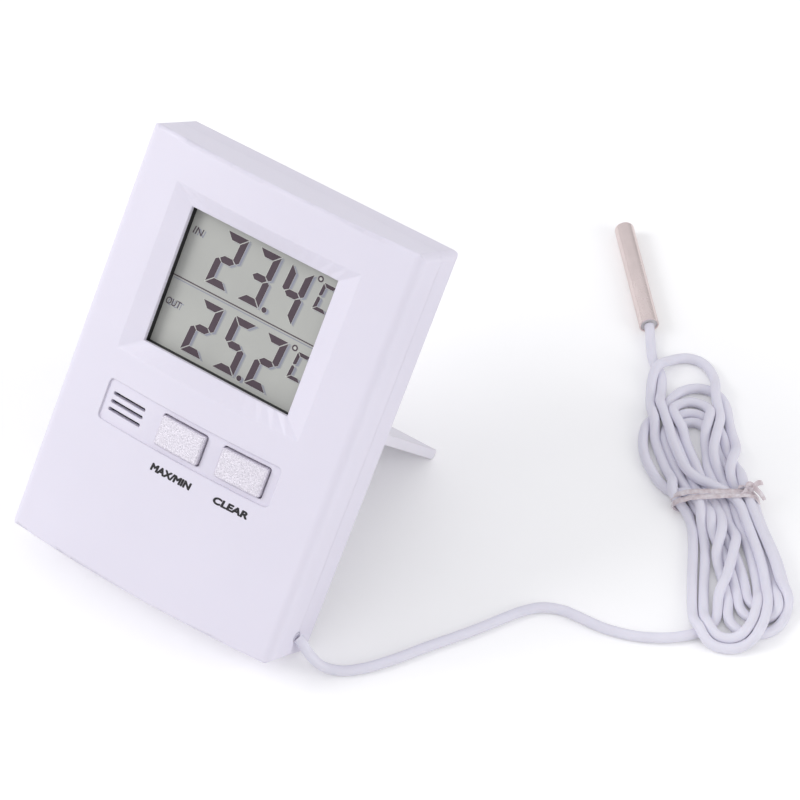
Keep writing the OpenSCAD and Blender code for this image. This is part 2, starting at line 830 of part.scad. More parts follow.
// Cap that follows the crown, with bevelled edges, a flange that keeps it in and a stem
module button(x) {
    left = x - cap_w / 2;
    right = x + cap_w / 2;
    // where the bevels leave the cap's sides
    left_y = crown_y(left, -cap_rise) + cap_bevel;
    right_y = crown_y(right, -cap_rise) + cap_bevel;
    r = crown_r + cap_rise;
    over = 0.2;
    color("silver") place() {
        intersection() {
            translate([x, 0, row_z])
                sweep_y(-crown - cap_rise - 1, collar_y + 0.6) rounded_rect(cap_w, cap_h, 0.4);
            translate([0, crown_axis_y, row_z]) rotate_extrude($fn = arc_fn)
                polygon([
                    [0, -cap_h / 2 - over], [r - cap_bevel - over, -cap_h / 2 - over],
                    [r, -cap_h / 2 + cap_bevel], [r, cap_h / 2 - cap_bevel],
                    [r - cap_bevel - over, cap_h / 2 + over], [0, cap_h / 2 + over]
                ]);
            translate([0, 0, row_z - cap_h]) linear_extrude(2 * cap_h)
                polygon([
                    [left + 2, left_y - 2], [right - 2, right_y - 2],
                    [right + over, right_y + over], [right + over, far],
                    [left - over, far], [left - over, left_y + over]
                ]);
        }
        translate([x, 0, row_z]) {
            sweep_y(collar_y + 0.1, collar_y + 0.1 + flange_t)
                rounded_rect(cap_w + 2 * flange_lap, cap_h + 2 * flange_lap, 0.6);
            bar_y(0, 0, collar_y + 0.2, stem_y, plunger_r + 0.3);
        }
    }
}

module button_max_min() {
    button(button_a_x);
}

module button_clear() {
    button(button_b_x);
}

// Bead behind the vents, on two legs from the board
module indoor_thermistor() {
    bead_y = board_y - 3.4;
    color("sienna") place() translate([-vent_x, 0, row_z]) {
        translate([0, bead_y, 0]) sphere(1.1, $fn = 32);
        both_sides() bar_y(0.6, 0, bead_y, board_y, 0.25);
    }
}

// ---------------------------------------------------------------- screws

module screw(x, z, y, l) {
    bar_y(x, z, y, y + head_h, head_r);
    bar_y(x, z, y - l, y + 0.2, screw_r);
}

module board_screws() {
    color("silver") place() both_sides() for (z = [post_low_z, post_high_z]) {
        bar_y(post_x, z, board_back, board_back + 1, 1.8);
        bar_y(post_x, z, board_back - board_screw_l, board_back + 0.2, screw_r - 0.3);
    }
}

module case_screws() {
    color("silver") place() both_sides() {
        screw(boss_top_x, boss_top_z, boss_back_y, case_screw_l);
        screw(boss_low_x, boss_low_z, boss_back_y, case_screw_l);
    }
}

// ---------------------------------------------------------------- stand

// The stand in its open pose: a flap with a round hinge edge and a pin at each end
module stand() {
    color("white") place() translate([0, hinge_y, hinge_z]) rotate([-stand_dip, 0, 0]) {
        difference() {
            union() {
                block([-stand_w / 2, 0, -stand_r], [stand_w / 2, stand_l - stand_r, stand_r]);
                for (y = [0, stand_l - stand_r])
                    bar_x(y, 0, -stand_w / 2, stand_w / 2, stand_r);
            }
            // shallow field on the inner face, which keeps the flap from sinking as it is moulded
            block([-stand_w / 2 + 5, 6, -far], [stand_w / 2 - 5, stand_l - 7, -stand_r + 0.6]);
        }
        both_sides() bar_x(0, 0, stand_w / 2 - 0.2, stand_w / 2 + pin_l, pin_r);
    }
}

// ---------------------------------------------------------------- cell, contacts and door

// Sliding cover with a tongue at each side and grip lines to push it down by
module battery_door() {
    half = door_w / 2;
    color("white") place() difference() {
        union() {
            block([-half, door_y, door_low], [half, recess_y, door_high]);
            block([-half - tongue_w, door_y, door_low + 1], [half + tongue_w, door_y + tongue_t, door_high]);
        }
        for (i = [0:4])
            translate([0, 0, cell_z + (i - 2) * 1.4])
                sweep_y(recess_y - 0.35, recess_y + 1) slot_2d(14 - 2 * abs(i - 2), 0.6);
    }
}

module battery() {
    nub_l = 1;
    color("darkslategray") place() {
        bar_x(cell_y, cell_z, cell_x0, cell_x0 + cell_l - nub_l, cell_r);
        bar_x(cell_y, cell_z, cell_x0 + cell_l - nub_l - 0.2, cell_x0 + cell_l, 1.9);
    }
}

// Sprung plate at one end of the tray, with its solder tab above
module contact_plate(x) {
    color("silver") place() {
        block([x, cell_y - 3.6, cell_z - plate_h / 2], [x + plate_t, cell_y + 3.6, cell_z + plate_h / 2]);
        block([x, cell_y - 1.2, cell_z], [x + plate_t, cell_y + 1.2, plate_top]);
    }
}

module contact_positive() {
    contact_plate(tray_x - plate_t);
    color("silver") place()
        bar_x(cell_y, cell_z, tray_x - 2 * plate_t, tray_x - 0.2, 1.6);
}

module contact_negative() {
    contact_plate(-tray_x);
}

// Tapered coil between the negative plate and the cell
module contact_spring() {
    wire_r = 0.3;
    steps = 14;
    total = spring_turns * steps;
    length = spring_l - 2 * wire_r;
    color("silver") place()
        translate([-tray_x + plate_t + wire_r, cell_y, cell_z])
            swept_tube([
                for (i = [0:total])
                    let (a = i * 360 / steps, r = 3.6 - 1.6 * i / total)
                        [length * i / total, r * cos(a), r * sin(a)]
            ], wire_r, 6);
}

module wire_positive() {
    color("red") place() swept_tube([
        [tray_x - plate_t / 2, cell_y, plate_top + 0.5],
        [tray_x - plate_t / 2, cell_y + 0.3, plate_top + 1.5],
        [tray_x - 0.9, board_back + 0.9, board_low - 1],
        [tray_x - 1.6, board_back + 0.6, board_low + 1.2],
        [tray_x - 2.2, board_back + 0.56, board_low + 3]
    ], 0.55);
}

module wire_negative() {
    color("black") place() swept_tube([
        [-tray_x + plate_t / 2, cell_y, plate_top + 0.5],
        [-tray_x + plate_t / 2, cell_y + 0.3, plate_top + 1.5],
        [-tray_x + 0.9, board_back + 0.9, board_low - 1],
        [-tray_x + 1.6, board_back + 0.6, board_low + 1.2],
        [-tray_x + 2.2, board_back + 0.56, board_low + 3]
    ], 0.55);
}

// ---------------------------------------------------------------- lead and probe

// Lead inside the case: through the collar, round a loop under the cell, up beside it and onto
// the back of the board
module lead_inside() {
    r = lead_d / 2;
    x_riser = tray_x + tray_t + r + 0.3;
    y_loop = split_y - 4.4;
    z_loop = cell_z - tray_half - tray_t - r - 0.8;
    y_board = board_back + r + 0.06;
    color("white") place() swept_tube([
        [case_w / 2 + 0.2, split_y, exit_z], [collar_x, split_y, exit_z],
        [collar_x - collar_l - 0.4, split_y, exit_z],
        [x_riser - 1.5, split_y - 0.4, z_loop], [x_riser - 2.5, split_y - 1.6, z_loop - 0.2],
        [x_riser - 2.5, y_loop + 1.2, z_loop - 0.3], [x_riser - 1.5, y_loop + 0.2, z_loop],
        [x_riser - 0.3, y_loop, z_loop + 1.2], [x_riser, y_loop, z_loop + 3],
        [x_riser, y_loop + 0.8, cell_z - 1], [x_riser, (y_loop + y_board) / 2, cell_z + 4],
        [x_riser, y_board - 0.6, board_low - 4.6], [x_riser, y_board + 0.1, board_low - 1.4],
        [x_riser - 0.9, y_board + 0.1, board_low + 1.4], [x_riser - 2.3, y_board, board_low + 3.6],
        [x_riser - 2.7, y_board, board_low + 5.6]
    ], r);
}

// Collar that stops the lead from being pulled out
module strain_collar() {
    color("gainsboro") place() difference() {
        bar_x(split_y, exit_z, collar_x - collar_l, collar_x, lead_d / 2 + 0.45);
        bar_x(split_y, exit_z, collar_x - collar_l - 1, collar_x + 1, lead_d / 2 + 0.01);
    }
}

module lead_tail() {
    color("white") swept_tube(tail_points, lead_d / 2);
}

module lead_to_probe() {
    color("white") swept_tube(probe_points, lead_d / 2);
}

// The folded lead as one flat solid, raised at the waist where the tie passes under it
module lead_hank() {
    color("white") difference() {
        linear_extrude(hank_h) band_2d(hank_path);
        translate([waist_mid[0], waist_mid[1], 0]) rotate([0, 0, waist_turn])
            block([-tie_w / 2 - 0.2, -far / 2, -1], [tie_w / 2 + 0.2, far / 2, tie_t]);
    }
}

// Thin tie round the waist of the hank
module hank_tie() {
    half = waist_mid[2] + 0.4;
    color("white") translate([waist_mid[0], waist_mid[1], 0]) rotate([0, 0, waist_turn]) difference() {
        sweep_x(-tie_w / 2, tie_w / 2)
            translate([0, (hank_h + tie_t) / 2])
                rounded_rect(2 * half + 2 * tie_t, hank_h + tie_t, tie_t);
        block([-tie_w, -half, tie_t], [tie_w, half, hank_h]);
    }
}

// Puts a probe piece at the lead's far end, its tip along +X before it is turned
module at_probe() {
    foot = probe_points[len(probe_points) - 1];
    translate([foot[0], foot[1], probe_d / 2]) rotate([0, 0, probe_turn]) children();
}

// Closed stainless tube with a softly rounded tip
module probe_tube() {
    r = probe_d / 2;
    tip_r = 0.8;
    color("silver") at_probe() rotate([0, 90, 0]) rotate_extrude() {
        difference() {
            union() {
                square([r, probe_l - tip_r]);
                square([r - tip_r, probe_l]);
                translate([r - tip_r, probe_l - tip_r]) circle(tip_r);
            }
            translate([-1, -1]) square([r - probe_wall + 1, probe_l - 2 * probe_wall - 0.4 + 1]);
        }
    }
}

module probe_resin() {
    color("beige") at_probe()
        translate([0.25, 0, 0]) rotate([0, 90, 0]) cylinder(h = resin_l, r = probe_d / 2 - probe_wall);
}

module probe_thermistor() {
    bead_r = 1.2;
    color("sienna") at_probe() {
        translate([resin_l + 9, 0, 0]) sphere(bead_r, $fn = 32);
        for (s = [-1, 1])
            translate([resin_l + 0.25, s * 0.5, 0]) rotate([0, 90, 0]) cylinder(h = 8.6, r = 0.25);
    }
}

front_shell();
rear_cover();
display_holder();
display_front_glass();
display_rear_glass();
display_reflector();
zebra_strip();
circuit_board();
chip_resin();
crystal();
small_parts();
tact_switches();
plunger_max_min();
plunger_clear();
button_max_min();
button_clear();
indoor_thermistor();
board_screws();
case_screws();
stand();
battery_door();
battery();
contact_positive();
contact_negative();
contact_spring();
wire_positive();
wire_negative();
lead_inside();
strain_collar();
lead_tail();
lead_hank();
lead_to_probe();
hank_tie();
probe_tube();
probe_resin();
probe_thermistor();
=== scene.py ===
# Digital maximum minimum thermometer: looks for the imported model, in metres, in its own frame.
import math

import bmesh
import bpy
import numpy as np
from mathutils import Matrix, Vector

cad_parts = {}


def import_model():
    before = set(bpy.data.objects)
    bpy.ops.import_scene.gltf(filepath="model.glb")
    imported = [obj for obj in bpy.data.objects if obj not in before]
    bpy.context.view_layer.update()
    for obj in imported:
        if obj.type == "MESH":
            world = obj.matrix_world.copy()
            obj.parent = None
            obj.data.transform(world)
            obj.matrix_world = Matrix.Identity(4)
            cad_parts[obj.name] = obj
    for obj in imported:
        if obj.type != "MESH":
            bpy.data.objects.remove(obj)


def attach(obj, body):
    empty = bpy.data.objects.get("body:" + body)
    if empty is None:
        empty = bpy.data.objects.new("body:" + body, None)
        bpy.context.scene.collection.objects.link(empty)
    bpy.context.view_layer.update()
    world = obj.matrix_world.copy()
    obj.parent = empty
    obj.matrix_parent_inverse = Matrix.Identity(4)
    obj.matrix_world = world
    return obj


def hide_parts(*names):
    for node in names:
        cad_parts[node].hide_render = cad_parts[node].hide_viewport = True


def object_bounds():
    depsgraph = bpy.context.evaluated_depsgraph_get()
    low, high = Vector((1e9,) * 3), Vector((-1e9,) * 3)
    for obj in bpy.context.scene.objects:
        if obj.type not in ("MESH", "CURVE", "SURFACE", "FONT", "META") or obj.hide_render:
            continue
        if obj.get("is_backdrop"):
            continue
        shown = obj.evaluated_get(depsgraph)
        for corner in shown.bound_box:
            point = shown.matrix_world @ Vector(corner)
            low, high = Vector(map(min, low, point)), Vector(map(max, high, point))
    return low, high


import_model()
cad_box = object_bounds()
MM = 0.001

# The leaning case, in millimetres: its own X to the right, Y to the back, Z up its front
LEAN = math.radians(39.1807)
COS, SIN = math.cos(LEAN), math.sin(LEAN)
SHIFT_Y, LIFT = -32.410, 9.3223
CASE_W, CROWN = 62.6, 3.0
CROWN_R = (CASE_W ** 2 / 4 + CROWN ** 2) / (2 * CROWN)
# How deep the outer face of the display glass lies
LENS_Y = 1.7


def world(x, y, z):
    """A point of the case, in millimetres, as a point of the scene."""
    return Vector((x, y * COS + z * SIN + SHIFT_Y, -y * SIN + z * COS + LIFT)) * MM


def crown_y(x):
    """The depth of the crowned front at x."""
    return CROWN_R - CROWN - math.sqrt(CROWN_R ** 2 - x * x)


# ------------------------------------------------------------------ camera
camera = bpy.data.objects.new("camera", bpy.data.cameras.new("camera"))
bpy.context.scene.collection.objects.link(camera)
camera.data.lens = 156.05
camera.data.sensor_width = 36.0
camera.data.clip_start = 0.05
camera.data.clip_end = 20.0
right = Vector((0.82524, 0.56466, -0.01207))
up = Vector((-0.4307, 0.643, 0.63328))
back = Vector((0.36535, -0.51741, 0.77382))
turn = Matrix((right, up, back)).transposed().to_4x4()
camera.matrix_world = Matrix.Translation(Vector((272.266, -328.203, 553.783)) * MM) @ turn
bpy.context.scene.camera = camera
bpy.context.scene.view_settings.view_transform = "Standard"


# ------------------------------------------------------------------ the lead
# Everything here is in millimetres. The tail runs from the case to the hank.
LEAD_D = 2.1
STEP = 1.5
TAIL = [
    (31.7, -23.1, 8), (32.3, -23.1, 7.9), (33.1, -23.3, 7), (34.2, -23.4, 5.4), (35.3, -23.2, 3.9),
    (36.6, -22.9, 2.6), (38.4, -21.9, 1.5), (40.6, -20.6, 1.1), (42.6, -18.8, 1.1),
    (44.4, -16.8, 1.1), (47.6, -12.2, 1.1), (50.6, -7.2, 1.1), (53.6, -2.6, 1.1), (56.6, 2.2, 1.1),
    (59.2, 6.8, 1.1), (61.6, 10.7, 1.1), (64.4, 13.6, 1.1), (68.2, 15.2, 1.1), (72.4, 15.6, 1.1),
    (76.8, 16, 1.1), (81, 17.1, 1.1), (84.4, 18.5, 1.1), (87.6, 20.4, 1.1), (90, 22.3, 1.1),
]
PROBE_END = [
    (48.6, 79.7, 1.1), (47.3, 81.4, 1.2), (46.2, 82.9, 1.4), (45.2, 84.3, 1.7), (44.4, 85.4, 2),
    (43.7, 86.3, 2.1),
]
# Where the tail passes into the first turn
HANK_START = (91.7, 24.1)
# Turns of the hank in the order of the lead: (layer that it is dropped from, points on the table).
# A third number is a point's own height.
TURNS = [
    (4, [(91.7, 24.1), (92.9, 25.7), (93.9, 27.8), (94.4, 31.4), (92.9, 36), (89.8, 42.3),
         (86, 48.7), (81.6, 54.2)]),
    (3, [(76.6, 59.4), (72, 65.4), (69, 70), (66.4, 73.1), (62.7, 74.6), (59.9, 73.2), (60, 70.3),
         (62.6, 66.4), (68.2, 61.4), (73.1, 57.2)]),
    (2, [(78.6, 53.6), (84.5, 47.4), (87.6, 43.4), (92.4, 36), (95.8, 31.2), (98.8, 29.2),
         (102.2, 29.4), (104.1, 31.9), (104.1, 35.3), (102.5, 39.7), (98.8, 45.2), (94.5, 49.4),
         (89.2, 53.4), (83.6, 57.6)]),
    (1, [(77.6, 61.8), (72.4, 68.2), (68.4, 71.8), (64.4, 72.8), (60.8, 71), (60.6, 67),
         (63.6, 62.4), (70, 57.2)]),
    (0, [(77.4, 52.6), (84, 49), (90.6, 43.6), (97.2, 38.4), (100.9, 37.2), (102.2, 39.8),
         (100.2, 43.4), (95, 48.6), (87.4, 54.4), (82.4, 58.4)]),
    (0, [(76.6, 62), (72.2, 66.8), (68, 70), (64.4, 69.8), (62.6, 67), (63.4, 63.6), (68, 59.4),
         (73.4, 55.6)]),
    (1, [(79.8, 51.4), (86.4, 45.4), (92.4, 39.4), (97.6, 35), (101, 34), (102.9, 36.4),
         (101.4, 41), (96.4, 46.6), (89.6, 52), (83.4, 57.2)]),
    (5, [(78, 61.3), (74.7, 67.1), (70.4, 73.6), (65.8, 78.4), (62, 79.4), (59, 77.4),
         (57.1, 72.9), (56.5, 69.6), (56.9, 65.6), (58.1, 60.9), (60.3, 57.2), (63.4, 54.8),
         (67.2, 52.9), (71.6, 52.2)]),
    (6, [(77.4, 53.3), (80.8, 48.3), (85.6, 39.5), (90, 31.9), (92.6, 28.4), (95.4, 26.5),
         (98, 26.1), (99.9, 27.6), (100.9, 30.6), (100.6, 35), (98.6, 40.4), (95, 45.4),
         (90.2, 49.7), (85, 53.8), (80.8, 57.6)]),
    (8, [(75.8, 60.2), (72.9, 64.3), (69, 71.2), (64.9, 78.2), (62.6, 81.5), (59.9, 84),
         (56.9, 85.1), (53.9, 84.2), (51.9, 81.8), (51.2, 78.5), (51.7, 74.9), (53.8, 70.8),
         (56.8, 66.2), (59.5, 63.2), (62.4, 60.4), (66.7, 56.9), (70.6, 54), (73.4, 52)]),
    (7, [(76.6, 50), (80, 44.6), (83.8, 37.8), (88.6, 29.8), (91, 26.6), (94.1, 24.4),
         (97.3, 23.8), (100, 25.2), (101.9, 28.2), (102.5, 32), (101.6, 36.6), (99, 41.8),
         (95.6, 46.2), (91, 50.4), (86, 54.2), (82.4, 56.8)]),
    (6.5, [(77.4, 56.6), (72.5, 56.2), (66.6, 60.6), (60.6, 65.8), (57.8, 69.3), (55.1, 73, 9),
           (53.3, 75.6, 4), (51.4, 77.4, 1.6), (49.9, 78.7, 1.1)]),
]
# The waist: its middle, its heading and the tie that goes round it
WAIST = np.array((78.4, 53.9))
ALONG = np.array((0.6614, -0.75))
ACROSS = np.array((0.75, 0.6614))
TIE_W, TIE_T = 2.4, 0.35
# How near the waist the strands begin to rise over the tie, the gap that is kept between strands,
# how far round a strand its neighbours are looked for, and how close points four steps apart come
RISE_FROM, STRAND_GAP, LOOK, BEND_SPAN = 4.5, 0.04, 1.6, 5.7


def refine(points, k):
    """A smooth curve through the points, with k steps from each point to the next."""
    p = np.array(points, float)
    out = []
    for i in range(len(p) - 1):
        a, b = p[max(i - 1, 0)], p[i]
        c, d = p[i + 1], p[min(i + 2, len(p) - 1)]
        for t in np.linspace(0, 1, k, endpoint=False):
            out.append(0.5 * (2 * b + (c - a) * t + (2 * a - 5 * b + 4 * c - d) * t ** 2
                              + (3 * b - a - 3 * c + d) * t ** 3))
    out.append(p[-1])
    return np.array(out)


def spaced(p, step, depth=1.0):
    """The line with points a step apart. Depth says how much its rises count as length."""
    d = np.diff(p, axis=0)
    if p.shape[1] == 3:
        d = d * np.stack([np.ones(len(d)), np.ones(len(d)), np.full(len(d), depth)], axis=1)
    s = np.r_[0, np.cumsum(np.linalg.norm(d, axis=1))]
    n = max(2, int(round(s[-1] / step)) + 1)
    at = np.linspace(0, s[-1], n)
    return np.stack([np.interp(at, s, p[:, k]) for k in range(p.shape[1])], axis=1)


def laid_lead():
    """The lead before it is let down: its points a step apart, and which of them stay put."""
    first = HANK_START + (TAIL[-1][2],)
    tail = spaced(refine(TAIL + [first], 12), STEP)
    hank = [TAIL[-1], first]
    for level, turn in TURNS:
        for q in turn:
            hank.append((q[0], q[1], q[2] if len(q) > 2 else 1.2 + 2.2 * level))
    hank += PROBE_END
    line = refine(hank, 12)
    start = int(np.argmin(np.hypot(line[:40, 0] - HANK_START[0], line[:40, 1] - HANK_START[1])))
    p = np.vstack([tail[:-1], spaced(line[start:], STEP, 0.0)])
    fixed = np.zeros(len(p), bool)
    fixed[: len(tail) - 1] = True
    fixed[-len(PROBE_END):] = True
    return p, fixed


def settle_lead(rounds=1100, late_share=0.8, skip=6):
    """The whole lead, let down onto the table until it rests in itself.

    Each round drops it a little, draws it to its route seen from above, evens its bends, keeps its
    length and presses strands apart. The late rounds are gentler. Points fewer than skip steps
    apart on the lead don't press on each other.
    """
    r = LEAD_D / 2
    p, fixed = laid_lead()
    n = len(p)
    aim = p[:, :2].copy()
    flat = p.copy()
    flat[:, 2] = np.where(fixed, p[:, 2], r)
    rest = np.linalg.norm(np.diff(flat, axis=0), axis=1)
    free = (~fixed)[:, None].astype(float)
    # The strands rise a little where the tie passes under them
    rel = (p[:, :2] - WAIST) @ ALONG
    ground = r + TIE_T * np.clip((RISE_FROM - np.abs(rel)) / 2, 0, 1)
    idx = np.arange(n)

    def press(a, b, want, only_less, weight=0.5, flatten=1.0):
        """Pushes points a and b apart, or also together, towards the distance that they want."""
        v = p[b] - p[a]
        d = np.linalg.norm(v, axis=1)
        gap = want - d
        on = gap > 0 if only_less else np.ones(len(d), bool)
        way = v[on] * (flatten, flatten, 1.0)
        way /= np.maximum(np.linalg.norm(way, axis=1), 1e-6)[:, None]
        push = way * gap[on][:, None] * weight
        np.add.at(move, a[on], -push)
        np.add.at(move, b[on], push)
        np.add.at(count, a[on], 1)
        np.add.at(count, b[on], 1)

    for k in range(rounds):
        late = k > late_share * rounds
        if k % 10 == 0:
            near = np.linalg.norm(p[:, None] - p[None], axis=2) < LEAD_D + LOOK
            pairs = np.nonzero(np.triu(near, skip))
        p[:, 2] -= free[:, 0] * (0.03 if late else 0.07)
        p[:, :2] += free * (aim - p[:, :2]) * (0.01 if late else 0.03)
        q = p.copy()
        q[2:-2] = (p[:-4] + p[4:]) * -1 / 6 + (p[1:-3] + p[3:-1]) * 4 / 6
        p += free * (q - p) * 0.25
        q[1:-1] = 0.5 * (p[:-2] + p[2:])
        p += free * (q - p) * (0.05, 0.05, 0.15)
        for _ in range(2):
            move, count = np.zeros_like(p), np.zeros((n, 1))
            press(idx[:-1], idx[1:], rest, False)
            press(idx[:-4], idx[4:], BEND_SPAN, True, 0.3)
            press(pairs[0], pairs[1], LEAD_D + STRAND_GAP, True, 0.5, 1.0 if late else 0.45)
            p += free * move / np.maximum(count, 1) * 1.4
            p[:, 2] = np.where(fixed, p[:, 2], np.maximum(p[:, 2], ground))
    return p


def as_mesh(name, data):
    """The mesh of a curve or of lettering."""
    temp = bpy.data.objects.new(name, data)
    bpy.context.scene.collection.objects.link(temp)
    bpy.context.view_layer.update()
    depsgraph = bpy.context.evaluated_depsgraph_get()
    mesh = bpy.data.meshes.new_from_object(temp.evaluated_get(depsgraph))
    bpy.data.objects.remove(temp)
    return mesh


def placed(name, mesh):
    """A piece of the scene on the root body."""
    obj = bpy.data.objects.new(name, mesh)
    bpy.context.scene.collection.objects.link(obj)
    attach(obj, "root")
    return obj


def round_tube(name, points, radius):
    data = bpy.data.curves.new(name, "CURVE")
    data.dimensions = "3D"
    data.bevel_depth = radius * MM
    data.bevel_resolution = 6
    data.use_fill_caps = True
    spline = data.splines.new("POLY")
    spline.points.add(len(points) - 1)
    for q, v in zip(spline.points, points):
        q.co = (v[0] * MM, v[1] * MM, v[2] * MM, 1)
    mesh = as_mesh(name, data)
    for f in mesh.polygons:
        f.use_smooth = True
    return placed(name, mesh)


LEAD_POINTS = settle_lead()
lead_line = refine(LEAD_POINTS, 3)
lead = round_tube("lead", lead_line, LEAD_D / 2)
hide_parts("lead_tail", "lead_hank", "lead_to_probe")


# ------------------------------------------------------------------ mesh helpers
def mesh_piece(name, verts, faces, sharp=None):
    """A piece from its faces, flat, or smooth up to a sharp angle in degrees."""
    mesh = bpy.data.meshes.new(name)
    mesh.from_pydata([tuple(v) for v in verts], [], faces)
    mesh.validate()
    bm = bmesh.new()
    bm.from_mesh(mesh)
    bmesh.ops.recalc_face_normals(bm, faces=bm.faces)
    bm.to_mesh(mesh)
    bm.free()
    if sharp:
        for f in mesh.polygons:
            f.use_smooth = True
        mesh.set_sharp_from_angle(angle=math.radians(sharp))
    obj = placed(name, mesh)
    return obj


def plate(verts, faces, outline, y0, y1):
    """Adds a flat prism: an outline in X and Z of the case, from depth y0 to y1."""
    n, base = len(outline), len(verts)
    for y in (y0, y1):
        for x, z in outline:
            verts.append(world(x, y, z))
    faces.append(list(range(base, base + n)))
    faces.append([base + n + i for i in range(n)][::-1])
    for i in range(n):
        j = (i + 1) % n
        faces.append([base + i, base + n + i, base + n + j, base + j])


# ------------------------------------------------------------------ display figures
# A seven-segment sign: its width, height and stroke, the gap between segments, and how far its top
# leans to the right
DIGIT = (4.95, 11.15, 1.42, 0.12, 1.1)
UNIT = (3.1, 5.6, 0.74, 0.09, 0.62)
LIT = {"2": "ABGED", "3": "ABGCD", "4": "FGBC", "5": "AFGCD", "C": "AFED"}
# The rows: the foot of the figures, the figures, and where their point stands
ROWS = ((61.85, "234", 3.6), (47.5, "252", 3.66))
DIGIT_X = (-10.25, -2.63, 4.87)
POINT_R, POINT_UP = 0.56, 0.32
UNIT_X, UNIT_UP, WINDOW_X = 12.75, 4.95, 16.6
DEGREE_X, DEGREE_Z, DEGREE_R = 12.41, (72.71, 58.34), (0.34, 0.62)
ROUND_SIDES = 28
# Heights off the display glass of the printed layers, of the painted shadows and of the painted
# light rims
BASE_UP, FAR_UP, NEAR_UP, LIGHT_RIM_UP, INK_UP, LEVEL = 0.004, 0.012, 0.02, 0.028, 0.04, 0.001


def segments(w, h, t, g):
    """Outlines of the seven segments for width w, height h, stroke t and gap g."""
    m = h / 2
    mid = t * 0.5
    return {
        "A": [(g, h), (w - g, h), (w - t - g, h - t), (t + g, h - t)],
        "D": [(g, 0), (t + g, t), (w - t - g, t), (w - g, 0)],
        "G": [(mid + g, m), (t + g * 1.4, m + mid), (w - t - g * 1.4, m + mid), (w - mid - g, m),
              (w - t - g * 1.4, m - mid), (t + g * 1.4, m - mid)],
        "B": [(w, h - g * 1.6), (w, m + mid * 0.7), (w - mid * 0.8, m + g), (w - t, m + mid),
              (w - t, h - t - g)],
        "C": [(w, g * 1.6), (w - t, t + g), (w - t, m - mid), (w - mid * 0.8, m - g),
              (w, m - mid * 0.7)],
        "F": [(0, h - g * 1.6), (t, h - t - g), (t, m + mid), (mid * 0.8, m + g),
              (0, m + mid * 0.7)],
        "E": [(0, g * 1.6), (0, m - mid * 0.7), (mid * 0.8, m - g), (t, m - mid), (t, t + g)],
    }


def grown(outline, by):
    """The outline moved out on every side by a distance."""
    n = len(outline)
    area = sum(outline[i][0] * outline[(i + 1) % n][1] - outline[(i + 1) % n][0] * outline[i][1]
               for i in range(n))
    s = 1 if area > 0 else -1
    out = []
    for i in range(n):
        a, b, c = (np.array(outline[k % n], float) for k in (i - 1, i, i + 1))
        d1, d2 = (b - a) / np.linalg.norm(b - a), (c - b) / np.linalg.norm(c - b)
        n1, n2 = s * np.array((d1[1], -d1[0])), s * np.array((d2[1], -d2[0]))
        v = n1 + n2
        v = v / max(np.dot(v, v), 0.35) * 2
        out.append(tuple(b + by * v))
    return out


def circle(cx, cz, r):
    turns = [2 * math.pi * k / ROUND_SIDES for k in range(ROUND_SIDES)]
    return [(cx + r * math.cos(a), cz + r * math.sin(a)) for a in turns]


def sign_outlines(x0, z0, sign, size):
    """The lit segments of one sign that stands at x0, z0."""
    w, h, stroke, gap, slant = size
    seg = segments(w, h, stroke, gap)
    return [[(x0 + x + slant * z / h, z0 + z) for x, z in seg[key]] for key in LIT[sign]]


def figure_outlines():
    shapes = []
    for foot, text, point_x in ROWS:
        for x0, sign in zip(DIGIT_X, text):
            shapes += sign_outlines(x0, foot, sign, DIGIT)
        # The unit runs out of the window on its right
        for outline in sign_outlines(UNIT_X, foot + UNIT_UP, "C", UNIT):
            shapes.append([(min(x, WINDOW_X), z) for x, z in outline])
        shapes.append(circle(point_x, foot + POINT_UP, POINT_R))
    return shapes


def print_and_painted_light(name, outlines, top, under=BASE_UP):
    """Flat shapes on the display glass, from one height off it to another: the figures, and also
    their painted shadows and painted light rims.
    """
    verts, faces = [], []
    for o in outlines:
        plate(verts, faces, o, LENS_Y - top, LENS_Y - under)
    return mesh_piece(name, verts, faces)


def degree_rings(name):
    verts, faces = [], []
    for cz in DEGREE_Z:
        base = len(verts)
        for inner, outer in zip(*(circle(DEGREE_X, cz, r) for r in DEGREE_R)):
            for x, z in (inner, outer):
                for up in (INK_UP, BASE_UP):
                    verts.append(world(x, LENS_Y - up, z))
        for k in range(ROUND_SIDES):
            i, j = base + 4 * k, base + 4 * ((k + 1) % ROUND_SIDES)
            for a, b in ((0, 2), (2, 3), (3, 1), (1, 0)):
                faces.append([i + a, i + b, j + b, j + a])
    return mesh_piece(name, verts, faces)


def bar(x0, x1, z0, z1):
    return [(x0, z0), (x1, z0), (x1, z1), (x0, z1)]


figures = figure_outlines()
# Painted shadows of the figures, two offset copies to the right and down, darker than the glass
shadow_far = print_and_painted_light("display_shadow_far",
                     [grown([(x + 0.66, z - 0.14) for x, z in o], 0.05) for o in figures], FAR_UP)
shadow_near = print_and_painted_light("display_shadow_near", [[(x + 0.48, z - 0.1) for x, z in o] for o in figures],
                      NEAR_UP, FAR_UP + LEVEL)
# A painted light rim: a lighter outline round each figure, under it on the glass
painted_light_rim = print_and_painted_light("display_painted_light_rim", [grown([(x - 0.03, z) for x, z in o], 0.08) for o in figures],
               LIGHT_RIM_UP, NEAR_UP + LEVEL)
digits = print_and_painted_light("display_digits", figures, INK_UP, LIGHT_RIM_UP + LEVEL)
degrees = degree_rings("display_degrees")
# A painted light disc inside each degree ring, in the colour of the painted light rim
degree_painted_light = print_and_painted_light("display_degree_painted_light",
                       [circle(DEGREE_X, cz, DEGREE_R[0]) for cz in DEGREE_Z], NEAR_UP)
divider = print_and_painted_light("display_divider", [bar(-17, 17, 60.2, 60.42)], INK_UP)
divider_shadow = print_and_painted_light("display_divider_shadow", [bar(-16.7, 17, 59.72, 59.9)], NEAR_UP)


